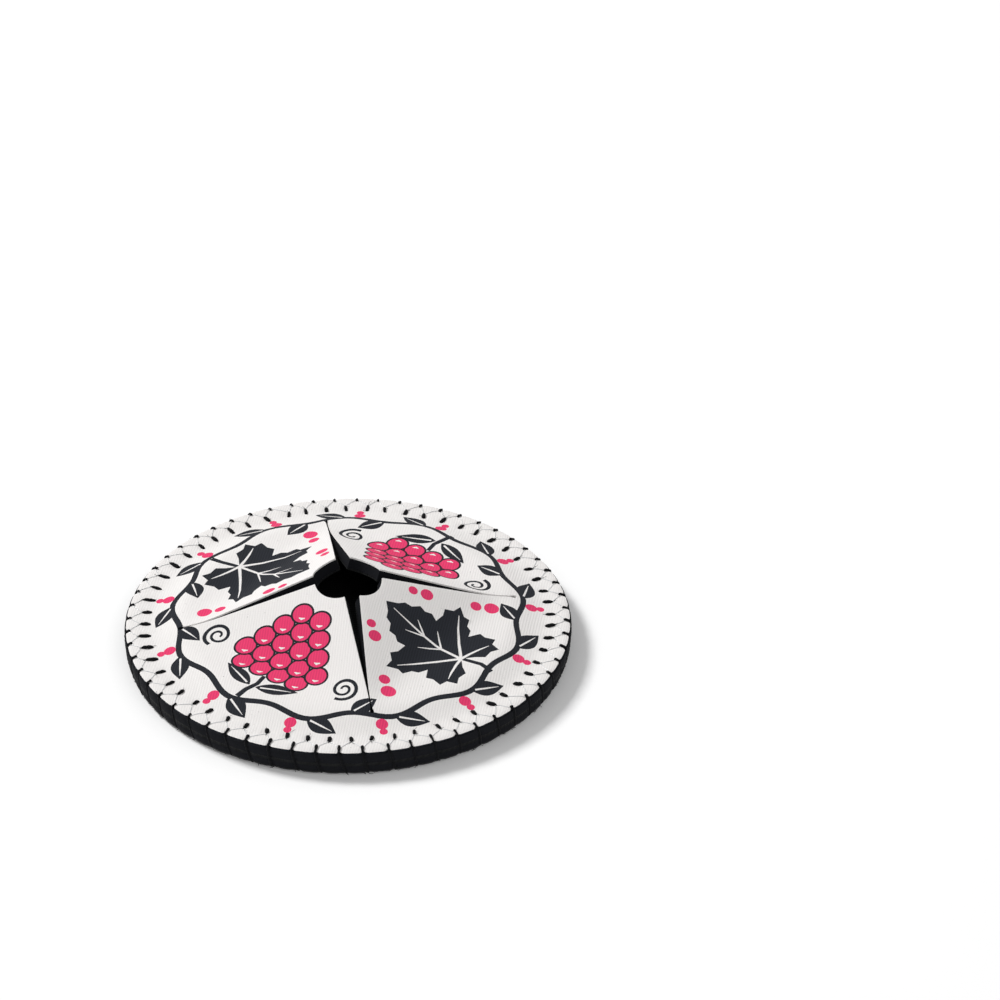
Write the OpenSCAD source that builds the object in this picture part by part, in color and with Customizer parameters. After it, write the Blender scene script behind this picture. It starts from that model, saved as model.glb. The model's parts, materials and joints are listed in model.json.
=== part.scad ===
// Slip-on coaster for a stemmed glass: two foam panels sewn together round the edge.
// The top panel is cut crosswise into four flaps that open over the pocket for the foot.
// Units are millimetres. The origin is the middle of the underside, and +Z is up.

/* [Outline] */
// Diameter over the edge thread
coaster_d = 100; // [90:1:120]
// Width of the sewn border round the edge
border_w = 5.9; // [4:0.1:8]

/* [Base panel] */
// Thickness of the embossed grip skin
grip_skin_t = 0.6; // [0.4:0.05:1.2]
// Thickness of the base foam
base_foam_t = 2; // [1.2:0.1:4]
// Thickness of the base lining
base_lining_t = 0.4; // [0.2:0.05:0.8]
// How far the stitches draw the border of the grip skin up
seam_tuck = 0.5; // [0.45:0.05:0.8]

/* [Top panel] */
// Thickness of the lining under the top foam
top_lining_t = 0.4; // [0.2:0.05:0.8]
// Thickness of the top foam
top_foam_t = 2.2; // [1.2:0.1:4]
// Thickness of the printed face fabric
face_t = 0.4; // [0.2:0.05:0.8]

/* [Pocket and flaps] */
// Rise of the top panel over the pocket
pocket_rise = 1.9; // [1:0.1:4]
// Distance from the sewn border to the ends of the four slits
slit_margin = 5.75; // [4.7:0.05:10]
// Diameter of the stem hole with the flaps level
hole_d = 12; // [10:0.5:20]
// Width of the slit cuts with the flaps level
slit_w = 0.4; // [0.4:0.05:1]
// Turn of the crossed slits about the middle
slit_turn = 7; // [0:1:45]
// Lift of the flaps from level at rest
flap_lift = 28; // [10:1:40]
// Distance from the slit ends in to the fold lines
fold_inset = 2.3; // [2:0.1:6]
// Gap along the fold line between a flap and the rim
fold_gap = 0.3; // [0.2:0.05:0.6]

/* [Stitching] */
// Number of stitches round the edge
stitch_n = 60; // [40:4:80]
// Width of the edge thread
edge_thread_w = 0.6; // [0.4:0.05:0.8]
// Thickness of the edge thread
edge_thread_t = 0.35; // [0.2:0.05:0.4]
// Length of the edge thread's hook on the face
hook_l = 1.6; // [0.8:0.1:2]
// Length of the edge thread's dash at an inner needle hole
dash_l = 2.1; // [0.8:0.1:2.4]
// Width of the clear face thread
face_thread_w = 0.25; // [0.15:0.05:0.4]
// Thickness of the clear face thread
face_thread_t = 0.2; // [0.1:0.05:0.3]

/* [Hidden] */
$fn = 96;
// Room that hidden faces keep when a cut passes through them
cut_over = 1;
// Corner cut of the face fabric at the slit ends
face_relief = 0.6;
// Draw-back of the foam and lining from the slit edges, so that the flaps fold clear of each other
core_inset = 0.35;
// Corner cut of the foam and lining at the slit ends, for the same reason
core_relief = 5;
// Slant of the pocket wall, as its plan width
pocket_wall_w = 4.7;
// Plan width of the tucked step under the border
tuck_ramp_w = 0.8;

panel_r = coaster_d / 2 - edge_thread_t;
border_r = panel_r - border_w;
base_t = grip_skin_t + base_foam_t + base_lining_t;
top_t = top_lining_t + top_foam_t + face_t;
border_top_z = base_t + top_t;
fold_z = border_top_z + pocket_rise;
slit_end_r = border_r - slit_margin;
quarter = 90;
// Each fold line runs inside the line that joins the ends of two slits
fold_x = slit_end_r * cos(quarter / 2) - fold_inset;
// The pocket wall stands between the sewn border and the slit ends
pocket_r = border_r - min(pocket_wall_w, slit_margin);
flap_turn = slit_turn + quarter / 2;
stitch_step = 360 / stitch_n;
// Radius of the inner needle holes, and of the outer corners of both threads
needle_r = border_r + edge_thread_w;
hem_r = panel_r - edge_thread_w;
// Height at which the black loops pass over the clear thread
loop_z = border_top_z + face_thread_t;

FLAPS = ["back_right", "back_left", "front_left", "front_right"];
FLAP_LAYERS = ["face", "foam", "lining"];

// One layer of the base panel, from z0 to z1, drawn up by tuck0 and tuck1 under the border
module base_layer(z0, z1, tuck0, tuck1) {
    rotate_extrude()
        polygon([
            [0, z0],
            [border_r - tuck_ramp_w, z0],
            [border_r, z0 + tuck0],
            [panel_r, z0 + tuck0],
            [panel_r, z1 + tuck1],
            [border_r, z1 + tuck1],
            [border_r - tuck_ramp_w, z1],
            [0, z1]
        ]);
}

// One layer of the top panel outside the folds, from z0 to z1 at the border
module rim_layer(z0, z1) {
    window_x = fold_x + fold_gap / 2;
    difference() {
        rotate_extrude()
            polygon([
                [fold_x - cut_over, z0 + pocket_rise],
                [pocket_r, z0 + pocket_rise],
                [border_r, z0],
                [panel_r, z0],
                [panel_r, z1],
                [border_r, z1],
                [pocket_r, z1 + pocket_rise],
                [fold_x - cut_over, z1 + pocket_rise]
            ]);
        linear_extrude(fold_z + cut_over) {
            rotate(flap_turn)
                square(2 * window_x, center = true);
            for (turn = [slit_turn, slit_turn + quarter])
                rotate(turn)
                    square([2 * slit_end_r, slit_w], center = true);
        }
    }
}

// Outline of a flap that points from its fold to the middle, with its slit edges and corners drawn in
module flap_outline(slit_inset, corner_relief) {
    root_x = fold_x - fold_gap / 2;
    // Where the slanted slit edge meets the flap's centre line
    tip_x = (slit_w / 2 + slit_inset) / sin(quarter / 2);
    corner_y = root_x - tip_x - corner_relief;
    difference() {
        polygon([
            [tip_x, 0],
            [tip_x + corner_y, -corner_y],
            [root_x, -corner_y],
            [root_x, corner_y],
            [tip_x + corner_y, corner_y]
        ]);
        circle(d = hole_d);
    }
}

// One layer of a flap, between two depths below the face, lifted about its fold line
module flap_layer(place, depth0, depth1, slit_inset, corner_relief) {
    rotate(flap_turn + quarter * place)
        translate([fold_x, 0, fold_z])
            rotate([0, flap_lift, 0])
                translate([-fold_x, 0, -depth1])
                    linear_extrude(depth1 - depth0)
                        flap_outline(slit_inset, corner_relief);
}

function polar(r, a) = [r * cos(a), r * sin(a)];

// Closed zigzag line of one corner at r_in and one at r_out per stitch
function zigzag(r_in, r_out) = [
    for (i = [0 : stitch_n - 1])
        for (p = [polar(r_in, i * stitch_step), polar(r_out, (i + 0.5) * stitch_step)]) p
];

// Flat zigzag band between two radii, w wide across its legs
module zigzag_band(r_in, r_out, w) {
    leg_angle = atan2(r_out - r_in, r_out * sin(stitch_step / 2));
    // Radial half width that gives the legs their width
    half_w = w / 2 / cos(leg_angle);
    difference() {
        polygon(zigzag(r_in + half_w, r_out + half_w));
        polygon(zigzag(r_in - half_w, r_out - half_w));
    }
}

// Strip of edge thread across the panels, from its outline of radius and height
module stitch_strip(outline) {
    translate([0, edge_thread_w / 2, 0])
        rotate([90, 0, 0])
            linear_extrude(edge_thread_w)
                polygon(outline);
}

module base_grip_skin() {
    color("#242426")
        base_layer(0, grip_skin_t, seam_tuck, seam_tuck);
}

module base_foam() {
    color("#1b1c1e")
        base_layer(grip_skin_t, grip_skin_t + base_foam_t, seam_tuck, 0);
}

module base_lining() {
    color("#151617")
        base_layer(grip_skin_t + base_foam_t, base_t, 0, 0);
}

module rim_lining() {
    color("#151617")
        rim_layer(base_t, base_t + top_lining_t);
}

module rim_foam() {
    color("#1b1c1e")
        rim_layer(base_t + top_lining_t, border_top_z - face_t);
}

module rim_face() {
    color("#ece8e6")
        rim_layer(border_top_z - face_t, border_top_z);
}

module flap_face(place) {
    color("#ece8e6")
        flap_layer(place, 0, face_t, 0, face_relief);
}

module flap_foam(place) {
    color("#1b1c1e")
        flap_layer(place, face_t, face_t + top_foam_t, core_inset, core_relief);
}

module flap_lining(place) {
    color("#151617")
        flap_layer(place, face_t + top_foam_t, top_t, core_inset, core_relief);
}

// Black thread: a zigzag under the border that comes up at each inner needle hole and hooks over the edge
module edge_thread() {
    under_z = seam_tuck - edge_thread_t;
    hook_r = panel_r - hook_l;
    color("#17181a") {
        translate([0, 0, under_z])
            linear_extrude(edge_thread_t)
                zigzag_band(needle_r, hem_r, edge_thread_w);
        for (i = [0 : stitch_n - 1]) {
            rotate(i * stitch_step)
                stitch_strip([
                    [needle_r - edge_thread_w / 2, under_z],
                    [needle_r + edge_thread_w / 2, under_z],
                    [needle_r + edge_thread_w / 2, loop_z],
                    [needle_r - edge_thread_w / 2 + dash_l, loop_z],
                    [needle_r - edge_thread_w / 2 + dash_l, loop_z + edge_thread_t],
                    [needle_r - edge_thread_w / 2, loop_z + edge_thread_t]
                ]);
            rotate((i + 0.5) * stitch_step)
                stitch_strip([
                    [hook_r, loop_z],
                    [panel_r, loop_z],
                    [panel_r, seam_tuck],
                    [hook_r, seam_tuck],
                    [hook_r, under_z],
                    [coaster_d / 2, under_z],
                    [coaster_d / 2, loop_z + edge_thread_t],
                    [hook_r, loop_z + edge_thread_t]
                ]);
        }
    }
}

// Clear thread: a zigzag on the face that runs under the black dashes and hooks
module face_thread() {
    color("#e6eaec")
        translate([0, 0, border_top_z])
            linear_extrude(face_thread_t)
                zigzag_band(needle_r + edge_thread_w / 2 + 2 * face_thread_w, hem_r, face_thread_w);
}

base_grip_skin();
base_foam();
base_lining();
rim_lining();
rim_foam();
rim_face();
edge_thread();
face_thread();
for (i = [0 : len(FLAPS) - 1]) {
    flap_face(i);
    flap_foam(i);
    flap_lining(i);
}
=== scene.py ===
"""Slip-on coaster for a stemmed glass: printed face, foam, linings, grip skin and stitching over the CAD frame.

Lengths are in millimetres until a mesh is made. +X is right, +Y is away from the camera and +Z is up.
"""

import json
import math

import bpy
import numpy as np
from mathutils import Matrix, Vector
from mathutils.geometry import delaunay_2d_cdt


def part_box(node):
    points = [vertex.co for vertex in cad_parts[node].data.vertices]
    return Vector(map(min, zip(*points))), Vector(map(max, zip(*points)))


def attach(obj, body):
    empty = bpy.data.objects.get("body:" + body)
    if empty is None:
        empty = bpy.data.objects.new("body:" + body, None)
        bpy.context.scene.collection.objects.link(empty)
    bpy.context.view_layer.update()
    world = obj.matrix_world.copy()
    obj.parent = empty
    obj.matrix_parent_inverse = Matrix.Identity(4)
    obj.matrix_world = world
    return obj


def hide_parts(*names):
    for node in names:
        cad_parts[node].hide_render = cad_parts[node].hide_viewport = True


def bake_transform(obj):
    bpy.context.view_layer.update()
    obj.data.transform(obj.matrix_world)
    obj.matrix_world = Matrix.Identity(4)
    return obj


bl_info = {
    "name": "Slip-on Glass Coaster",
    "version": (1, 0, 0),
    "blender": (4, 5, 0),
    "location": "3D View > Sidebar > Coaster",
    "description": "Makes the cloth, foam, rubber and stitching of a slip-on glass coaster",
    "category": "Add Mesh",
}

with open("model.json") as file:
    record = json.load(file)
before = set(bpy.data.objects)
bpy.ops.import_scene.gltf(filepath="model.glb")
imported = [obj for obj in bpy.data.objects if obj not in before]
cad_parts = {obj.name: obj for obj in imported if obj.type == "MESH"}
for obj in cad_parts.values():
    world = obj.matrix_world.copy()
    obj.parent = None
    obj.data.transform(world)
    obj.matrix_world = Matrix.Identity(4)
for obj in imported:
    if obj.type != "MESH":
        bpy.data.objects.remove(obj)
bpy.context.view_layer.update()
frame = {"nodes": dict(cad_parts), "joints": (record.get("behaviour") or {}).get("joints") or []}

MM = 0.001
PLAN_UV = "plan_mm"
POCKET = "pocket"
FLAPS = ("back_right", "back_left", "front_left", "front_right")
# Inks of the printed face, as the order of its materials
CLOTH, PINK, BLACK = 0, 1, 2


def node_z(node):
    """Lowest and highest point of a CAD node, in millimetres."""
    low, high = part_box(node)
    return low.z / MM, high.z / MM


def node_radius(node):
    """Distance from the middle to a CAD node's outermost point, in millimetres."""
    return max(math.hypot(v.co.x, v.co.y) for v in frame["nodes"][node].data.vertices) / MM


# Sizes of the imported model
PANEL_R = node_radius("base_lining")
SKIN_T = node_z("base_foam")[0]
TUCK = node_z("base_grip_skin")[1] - SKIN_T
BASE_LINING_Z, BASE_TOP_Z = node_z("base_lining")
FACE_Z = node_z("face_thread")[0]
FACE_T = FACE_Z - node_z("rim_face")[0]
LINING_DEPTH = FACE_Z - node_z("rim_foam")[0]
PANEL_T = FACE_Z - node_z("rim_lining")[0]
POCKET_RISE = node_z("rim_face")[1] - FACE_Z
JOINTS = {joint["child"]: joint for joint in frame["joints"]}
FOLD_X = math.hypot(*JOINTS["flap_" + FLAPS[0]]["pos_m"][:2]) / MM
LIFT = math.radians(-JOINTS["flap_" + FLAPS[0]]["range_deg"][0])
AZIMUTHS = [math.atan2(*JOINTS["flap_" + flap]["pos_m"][1::-1]) for flap in FLAPS]

# Distance from the slit ends in to the fold lines, and the cuts of the model with level flaps
FOLD_INSET = 2.3
SLIT_HALF_W = 0.2
HOLE_R = 6.0
SLIT_END_S = FOLD_X + FOLD_INSET
# The sewn border: its width, and the rings of the inner needle holes and the outer corners of the thread
BORDER_W = 5.9
NEEDLE_R = PANEL_R - 5.3
HEM_R = PANEL_R - 0.6
# The pocket's wall, which the stretched cloth rounds off
WALL_FOOT_R = 44.2
WALL_HEAD_R = 35.5
# How softly the panel bends over a fold
BEND_SOFT = 1.5
# How far the stitches draw the edge of the underside in
BASE_DRAW = 0.5
# How far the yarn on the wall leans from the face to the underside, in stitches
SEAM_LEAN = 0.26
# Strands of yarn, and loose fibres, in each leg of the zigzag under the border
UNDER_STRANDS = 4
UNDER_FIBRES = 26
# Air between two layers, so that their faces don't share a plane
LAYER_GAP = 0.02
# How far in from the edge the layers follow the sewn wall
EDGE_SOFT = 2
# Relief of the sewn border: puffs between the hooks, dimples at the needles, grooves of the hooks, rolled edge
PUFF_H, NEEDLE_DIP, HOOK_DIP, ROLL_DIP = 0.05, 0.22, 0.14, 0.15
# The side wall: how far it stands back, how far a hook draws it in, and how far it bulges between two hooks
WALL_BACK, WALL_PINCH, WALL_BULGE = 0.12, 0.2, 0.17
# Half the width of a grid that covers the panel
GRID_REACH = 52
# Mesh points along the edge for each stitch, on the printed face and on the other layers
FACE_EDGE_POINTS = 12
EDGE_POINTS = 8
# Degrees between two faces that meet in a sharp edge
CREASE = 50
# Degrees by which the ribs of the face, the ribs of the lining and the basket weave are turned
KNIT_TURN, LINING_TURN, WEAVE_TURN = 11, 100, 19
# Plies of the yarn, and its turns in a millimetre on the face and wall and under the border
YARN_PLIES, YARN_TWIST, UNDER_TWIST = 2, 0.45, 0.6
# Points of a loose fibre, and fibres of one hook
FIBRE_POINTS = 6
HOOK_FIBRES = 6
# Seeds of the stitches and of the loose fibres
STITCH_SEED, FIBRE_SEED = 7, 11
# Camera fitted to the photo: sensor, lens and place in millimetres, turn, tilt and roll in degrees
SENSOR_W, LENS = 36, 129.43
EYE = (-1.345, -656.632, 464.54)
EYE_TURN, EYE_TILT, EYE_ROLL = 3.0455, 33.051, -0.38
# Lamps: name, place and size in metres, power in watts
LAMPS = (("key", (-1.9, 1.3, 2.4), 0.9, 86.0), ("fill", (1.0, -2.0, 2.2), 2.0, 12.0))
SKY_STRENGTH = 0.37
# The floor: half its width and its height in millimetres, and the strength of its own light
FLOOR_REACH, FLOOR_Z, FLOOR_GLOW = 3000, -0.02, 0.08


def linear(hex_colour):
    """Linear RGB of an sRGB hex colour."""
    parts = [int(hex_colour[i : i + 2], 16) / 255 for i in (1, 3, 5)]
    return tuple(c / 12.92 if c <= 0.04045 else ((c + 0.055) / 1.055) ** 2.4 for c in parts)


def rgba(colour, gain=1.0):
    """Colour for a shader socket, lighter or darker by gain."""
    return tuple(min(1.0, c * gain) for c in colour) + (1.0,)


def colour_property(name, description, hex_colour):
    """Colour picker that starts at an sRGB hex colour."""
    return bpy.props.FloatVectorProperty(
        name=name, description=description, subtype="COLOR", size=3, min=0, max=1, default=linear(hex_colour)
    )


def size_property(name, description, default, low, high):
    """Size in millimetres."""
    return bpy.props.FloatProperty(
        name=name, description=description + ", in mm", default=default, min=low, max=high
    )


class CoasterColours(bpy.types.PropertyGroup):
    """Colours of the coaster's materials."""

    cloth: colour_property("Cloth", "White knit of the printed face", "#EFECEA")
    pink_ink: colour_property("Pink ink", "Pink of the print", "#E83C6E")
    black_ink: colour_property("Black ink", "Blue-black of the print", "#20232A")
    foam: colour_property("Foam", "Cut edge of the foam rubber", "#131418")
    lining: colour_property("Lining", "Black knit inside the pocket", "#151617")
    rubber: colour_property("Rubber", "Embossed grip skin", "#1E1E20")
    yarn: colour_property("Edge thread", "Black yarn round the edge", "#0D0E12")
    nylon: colour_property("Face thread", "Clear thread on the face", "#F2F4F5")
    floor: colour_property("Floor", "Studio floor", "#FBFBFB")


class CoasterSizes(bpy.types.PropertyGroup):
    """Sizes of the coaster's cloth and stitching, in millimetres."""

    wale: size_property("Wale", "Width of one rib of the knit face", 0.6, 0.3, 2)
    course: size_property("Course", "Height of one loop of the knit face", 0.5, 0.3, 2)
    weave: size_property("Weave", "Width of one pad of the embossed basket weave", 1.87, 1, 4)
    weave_depth: size_property("Weave depth", "Depth of the grooves round the pads", 0.28, 0.1, 0.5)
    stitches: bpy.props.IntProperty(
        name="Stitches", description="Number of stitches round the edge", default=60, min=40, max=80
    )
    yarn_w: size_property("Yarn width", "Width of the black edge thread", 0.6, 0.4, 0.8)
    dash: size_property("Dash", "Length of the black dashes at the inner needle holes", 2.1, 1, 3)
    hook: size_property("Hook", "Reach of the black hooks onto the face", 1.6, 1, 2.5)
    nylon_w: size_property("Nylon width", "Width of the clear face thread", 0.16, 0.1, 0.4)


# Nodes and materials


def add(tree, kind, links=None, **settings):
    """Adds a node with its settings, and links or sets its inputs."""
    made = tree.nodes.new(kind)
    for key, value in settings.items():
        setattr(made, key, value)
    for key, value in (links or {}).items():
        if isinstance(value, bpy.types.NodeSocket):
            tree.links.new(value, made.inputs[key])
        else:
            made.inputs[key].default_value = value
    return made


def calc(tree, operation, *values):
    """Result of a math node."""
    return add(tree, "ShaderNodeMath", dict(enumerate(values)), operation=operation).outputs[0]


def noise(tree, place, scale, detail, roughness=0.5):
    """Level of a noise texture, from 0 to 1."""
    links = {"Vector": place, "Scale": scale, "Detail": detail, "Roughness": roughness}
    return add(tree, "ShaderNodeTexNoise", links).outputs["Fac"]


def mix_colours(tree, level, low, high):
    """Colour between two others."""
    links = {"Factor": level, "A": low, "B": high}
    return add(tree, "ShaderNodeMix", links, data_type="RGBA").outputs["Result"]


def map_range(tree, value, from_min=0, from_max=1, to_min=0, to_max=1):
    """Value moved from one range to another."""
    links = {"Value": value, "From Min": from_min, "From Max": from_max, "To Min": to_min, "To Max": to_max}
    return add(tree, "ShaderNodeMapRange", links).outputs["Result"]


def bump(tree, height, strength, depth, **settings):
    """Normal of a relief whose depth is in millimetres."""
    links = {"Height": height, "Strength": strength, "Distance": depth * MM}
    return add(tree, "ShaderNodeBump", links, **settings).outputs["Normal"]


def object_place(tree):
    """Place in the object's own axes, in metres of the frame."""
    return add(tree, "ShaderNodeTexCoord").outputs["Object"]


def new_material(name):
    """Empty node material and its tree."""
    material = bpy.data.materials.new(name)
    material.use_nodes = True
    material.node_tree.nodes.clear()
    return material, material.node_tree


def surface(tree, links):
    """Gives a material its principled shader."""
    shader = add(tree, "ShaderNodeBsdfPrincipled", links)
    add(tree, "ShaderNodeOutputMaterial", {"Surface": shader.outputs[0]})


def knit_pattern(tree, wale, course, turn):
    """Ribs of slanted loops: plan millimetres, the rib from 0 to 1, and the height of the loops on it."""
    plan = add(tree, "ShaderNodeUVMap", uv_map=PLAN_UV).outputs["UV"]
    turned = add(tree, "ShaderNodeVectorRotate", {"Vector": plan, "Angle": turn}, rotation_type="Z_AXIS")
    along = add(tree, "ShaderNodeSeparateXYZ", {"Vector": turned.outputs["Vector"]})
    side = calc(tree, "PINGPONG", along.outputs["X"], wale / 2)
    rib = calc(tree, "MULTIPLY", side, 2 / wale)
    lean = calc(tree, "ADD", along.outputs["Y"], side)
    loop = calc(tree, "SINE", calc(tree, "MULTIPLY", lean, 2 * math.pi / course))
    return plan, rib, calc(tree, "MULTIPLY_ADD", loop, 0.3, rib)


def printed_jersey(name, colour, sizes, shade, speck):
    """Polyester jersey with dye-sublimated ink: matt, in fine ribs, each rib painted lighter on top and darker in
    its valleys as painted shade, and the ink also thinner on top of each rib.
    The bare cloth has a few dark specks of lint."""
    material, tree = new_material(name)
    plan, rib, height = knit_pattern(tree, sizes.wale, sizes.course, math.radians(KNIT_TURN))
    # Blotches of about 3 mm, as the ink takes unevenly
    blotch = noise(tree, plan, 1 / 3, 3, 0.6)
    # The top of each rib is painted lighter and its valley darker, as painted shade, mixed with the blotches
    tone = map_range(tree, calc(tree, "MULTIPLY_ADD", blotch, 0.35, rib), from_max=1.35)
    dyed_and_rib_shaded = mix_colours(tree, tone, rgba(colour, 1 - shade), rgba(colour, 1 + shade))
    # Specks of 0.3 mm, about one in each 4 mm
    lint = map_range(tree, noise(tree, plan, 1 / 0.55, 1), from_min=0.74, from_max=0.8, to_max=speck)
    looks = {
        "Base Color": mix_colours(tree, lint, dyed_and_rib_shaded, rgba(linear("#77726E"))),
        "Roughness": 0.82,
        "Specular IOR Level": 0.18,
        "Sheen Weight": 0.04,
        "Sheen Roughness": 0.5,
        "Normal": bump(tree, height, 0.45, 0.1),
    }
    surface(tree, looks)
    return material


def lining_jersey(colour, sizes):
    """Nylon jersey laminated to the foam: black, slightly silky, in ribs a little coarser than the face."""
    material, tree = new_material("black nylon jersey")
    _, rib, height = knit_pattern(tree, sizes.wale * 1.2, sizes.course * 1.2, math.radians(LINING_TURN))
    # The top of each rib is painted lighter and its valley darker, as painted shade
    looks = {
        "Base Color": mix_colours(tree, rib, rgba(colour, 0.6), rgba(colour, 1.5)),
        "Roughness": 0.7,
        "Specular IOR Level": 0.15,
        "Sheen Weight": 0.02,
        "Normal": bump(tree, height, 0.6, 0.12),
    }
    surface(tree, looks)
    return material


def cut_foam(colour):
    """Chloroprene foam cut with a die: dull black, with the pores of closed cells opened along the cut."""
    material, tree = new_material("cut chloroprene foam")
    place = object_place(tree)
    # Cells of 0.25 mm, smeared in patches of 1.5 mm: the colour is darker where the cells' relief is low, as
    # painted shade in the pores, and patchy at random
    cells = add(tree, "ShaderNodeTexVoronoi", {"Vector": place, "Scale": 1 / (0.25 * MM)}).outputs["Distance"]
    level = calc(tree, "MULTIPLY", cells, noise(tree, place, 1 / (1.5 * MM), 4))
    looks = {
        "Base Color": mix_colours(tree, level, rgba(colour, 1.5), rgba(colour, 0.55)),
        "Roughness": 0.85,
        "Specular IOR Level": 0.12,
        "Normal": bump(tree, cells, 0.5, 0.08, invert=True),
    }
    surface(tree, looks)
    return material


def embossed_rubber(colour):
    """Rubber skin pressed in a patterned roller: near black, half matt, with a fine grain on the pads."""
    material, tree = new_material("embossed rubber")
    place = object_place(tree)
    # Grain of 0.2 mm, and wear in patches of 9 mm
    grain = noise(tree, place, 1 / (0.2 * MM), 3)
    wear = noise(tree, place, 1 / (9 * MM), 4)
    looks = {
        "Base Color": mix_colours(tree, wear, rgba(colour, 0.75), rgba(colour, 1.25)),
        "Roughness": map_range(tree, wear, to_min=0.5, to_max=0.66),
        "IOR": 1.52,
        "Specular IOR Level": 0.3,
        "Normal": bump(tree, grain, 0.3, 0.05),
    }
    surface(tree, looks)
    return material


def spun_yarn(colour):
    """Two-ply bulked polyester yarn: black, soft, with fibres that run slantwise round it."""
    material, tree = new_material("bulked polyester yarn")
    # The map holds turns round the yarn and millimetres along it
    length = add(tree, "ShaderNodeUVMap", uv_map=PLAN_UV).outputs["UV"]
    apart = add(tree, "ShaderNodeSeparateXYZ", {"Vector": length}).outputs
    slant = calc(tree, "MULTIPLY_ADD", apart["Y"], 1.2, apart["X"])
    # Nine fibre strands round the yarn
    strand = calc(tree, "SINE", calc(tree, "MULTIPLY", slant, 9 * 2 * math.pi))
    level = map_range(tree, strand, from_min=-1)
    # Each strand is painted lighter on its crest and darker in the grooves between strands, as painted shade
    looks = {
        "Base Color": mix_colours(tree, level, rgba(colour, 0.5), rgba(colour, 1.2)),
        "Roughness": 0.75,
        "Specular IOR Level": 0.12,
        "Sheen Weight": 0.03,
        "Normal": bump(tree, level, 0.5, 0.04),
    }
    surface(tree, looks)
    return material


def clear_nylon(colour):
    """Drawn nylon monofilament: clear and glossy, so it shows as thin bright streaks."""
    material, tree = new_material("nylon monofilament")
    # Draw marks of 0.5 mm along the filament
    marks = noise(tree, object_place(tree), 1 / (0.5 * MM), 2)
    looks = {
        "Base Color": rgba(colour),
        "Roughness": map_range(tree, marks, to_min=0.08, to_max=0.3),
        "IOR": 1.53,
        "Transmission Weight": 0.15,
    }
    surface(tree, looks)
    return material


# Shapes of the panels


def smooth_step(t):
    """Ramp from 0 to 1 with level ends."""
    t = np.clip(t, 0, 1)
    return t * t * (3 - 2 * t)


def stitch_offset(angle, count, phase):
    """Arc at the panel's edge, in millimetres, to the nearest of count stitches that start at phase of a step."""
    step = 2 * math.pi / count
    return ((angle / step - phase + 0.5) % 1 - 0.5) * step * PANEL_R


def edge_pinch(angle, count, height):
    """How far a hook draws the wall in at a height: 1 at a hook, 0 between two."""
    place = 0.5 + SEAM_LEAN * (1 - height / FACE_Z)
    return np.exp(-((stitch_offset(angle, count, place) / 0.8) ** 2))


def on_circle(r, angles):
    """Plan points at a radius and angles about the middle."""
    return np.column_stack([r * np.cos(angles), r * np.sin(angles)])


def border_relief(x, y, count):
    """Height that the stitches add to the face's border: dimples at the needle holes, grooves and puffs."""
    angle = np.arctan2(y, x)
    r = np.hypot(x, y)
    pinch = edge_pinch(angle, count, FACE_Z)
    needle = np.exp(-((stitch_offset(angle, count, 0) / 0.9) ** 2) - ((r - NEEDLE_R - 0.5) / 1.1) ** 2)
    hook = pinch * smooth_step((r - PANEL_R + 2.6) / 1.6)
    puff = (1 - pinch) * np.exp(-(((r - PANEL_R + 2.2) / 1.3) ** 2))
    rolled = smooth_step((r - PANEL_R + 1.1) / 1.1) ** 2
    return PUFF_H * puff - NEEDLE_DIP * needle - HOOK_DIP * hook - ROLL_DIP * rolled


def fold_tables():
    """Turn, rise and reach of the panel by the distance in from a fold line."""
    inward = np.linspace(-30, 40, 2801)
    turn = LIFT / (1 + np.exp(-inward / BEND_SOFT))
    step = inward[1] - inward[0]
    rise = np.concatenate([[0], np.cumsum((np.sin(turn[1:]) + np.sin(turn[:-1])) / 2) * step])
    reach = np.concatenate([[0], np.cumsum((np.cos(turn[1:]) + np.cos(turn[:-1])) / 2) * step])
    reach -= np.interp(0, inward, reach)
    # Outside the fold line the panel keeps its plan
    reach = np.where(inward < 0, inward, reach)
    return inward, turn, rise, reach


FOLD_TABLES = fold_tables()


def lay_panel(plan, place, depth, count):
    """Rest position of points of the top panel.

    plan holds the points of the flat panel, place is the flap that they belong to, and depth is the distance
    below the face's surface.
    """
    x, y = plan[:, 0], plan[:, 1]
    azimuth = AZIMUTHS[place]
    out = np.array([math.cos(azimuth), math.sin(azimuth)])
    across = np.array([-out[1], out[0]])
    s, v = plan @ out, plan @ across
    inward, turns, rises, reaches = FOLD_TABLES
    turn = np.interp(FOLD_X - s, inward, turns)
    r = np.hypot(x, y)
    t = np.clip((WALL_FOOT_R - r) / (WALL_FOOT_R - WALL_HEAD_R), 0, 1)
    wall = POCKET_RISE * smooth_step(t)
    wall_slope = -POCKET_RISE * 6 * t * (1 - t) / (WALL_FOOT_R - WALL_HEAD_R)
    level = FACE_Z + wall + np.interp(FOLD_X - s, inward, rises)
    level += 0.1 * np.sin(x / 6.1 + 1.3) * np.sin(y / 7.3 + 0.4) * smooth_step((WALL_FOOT_R - r) / 6)
    radial = plan / np.maximum(r, 1e-6)[:, None]
    slope = wall_slope[:, None] * radial - np.tan(turn)[:, None] * out
    normal = np.column_stack([-slope, np.ones(len(plan))])
    normal /= np.linalg.norm(normal, axis=1)[:, None]
    bent = (FOLD_X - np.interp(FOLD_X - s, inward, reaches))[:, None] * out + v[:, None] * across
    points = np.column_stack([bent, level]) - normal * np.broadcast_to(depth, len(plan))[:, None]
    points[:, 2] += border_relief(x, y, count) * (1 - np.broadcast_to(depth, len(plan)) / PANEL_T)
    return points


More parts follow.
